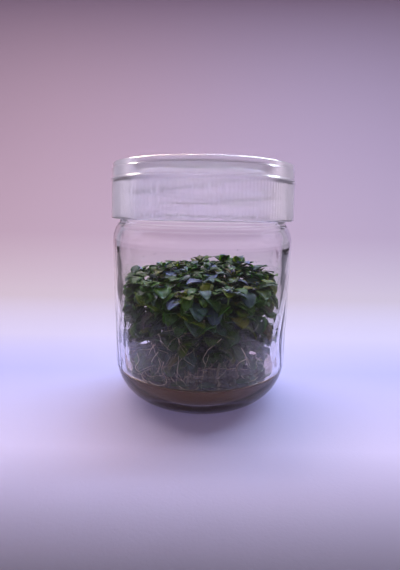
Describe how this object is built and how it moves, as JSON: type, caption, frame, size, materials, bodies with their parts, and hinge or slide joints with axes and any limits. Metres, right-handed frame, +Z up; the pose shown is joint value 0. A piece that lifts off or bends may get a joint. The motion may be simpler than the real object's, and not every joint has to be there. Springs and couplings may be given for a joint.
{
  "type": "plant tissue culture jar",
  "caption": "Clear glass culture jar with a translucent screw lid, holding a dense clump of Ludwigia plantlets rooted in set nutrient gel.",
  "frame": {"origin": "middle of the jar's foot, on the surface that it stands on", "axes": "+Z up along the jar's axis, -Y towards the front of the picture, +X to its right"},
  "size_m": [0.0772, 0.0772, 0.1],
  "materials": {
    "jar_glass": "clear, faintly lavender",
    "lid_plastic": "translucent unpigmented polypropylene, ribbed skirt",
    "gel": "clear amber gel",
    "stem_green": "green to reddish stalk",
    "crown_green": "waxy young leaf, olive to dark green",
    "leaf_green": "waxy leaf, dark green"
  },
  "bodies": {
    "jar": {"glass_jar": "jar_glass", "nutrient_gel": "gel", "stem_01": "stem_green", "stem_02": "stem_green", "stem_03": "stem_green", "stem_04": "stem_green", "stem_05": "stem_green", "stem_06": "stem_green", "stem_07": "stem_green", "stem_08": "stem_green", "stem_09": "stem_green", "stem_10": "stem_green", "stem_11": "stem_green", "stem_12": "stem_green", "stem_13": "stem_green", "stem_14": "stem_green", "stem_15": "stem_green", "stem_16": "stem_green", "stem_17": "stem_green", "stem_18": "stem_green", "stem_19": "stem_green", "stem_20": "stem_green", "stem_21": "stem_green", "stem_22": "stem_green", "stem_23": "stem_green", "stem_24": "stem_green", "leaf_crown_01": "crown_green", "leaf_crown_02": "crown_green", "leaf_crown_03": "crown_green", "leaf_crown_04": "crown_green", "leaf_crown_05": "crown_green", "leaf_crown_06": "crown_green", "leaf_crown_07": "crown_green", "leaf_crown_08": "crown_green", "leaf_crown_09": "crown_green", "leaf_crown_10": "crown_green", "leaf_crown_11": "crown_green", "leaf_crown_12": "crown_green", "leaf_crown_13": "crown_green", "leaf_crown_14": "crown_green", "leaf_crown_15": "crown_green", "leaf_crown_16": "crown_green", "leaf_crown_17": "crown_green", "leaf_crown_18": "crown_green", "leaf_crown_19": "crown_green", "leaf_crown_20": "crown_green", "leaf_crown_21": "crown_green", "leaf_crown_22": "crown_green", "leaf_crown_23": "crown_green", "leaf_crown_24": "crown_green", "loose_leaf_1": "leaf_green", "loose_leaf_2": "leaf_green", "loose_leaf_3": "leaf_green", "loose_leaf_4": "leaf_green", "loose_leaf_5": "leaf_green"},
    "lid": {"screw_lid": "lid_plastic"}
  },
  "joints": [
    {"name": "lid_turn", "type": "hinge", "parent": "jar", "child": "lid", "pos_m": [0, 0, 0.0778], "axis": [0, 0, 1], "range_deg": [0, 120]}
  ]
}
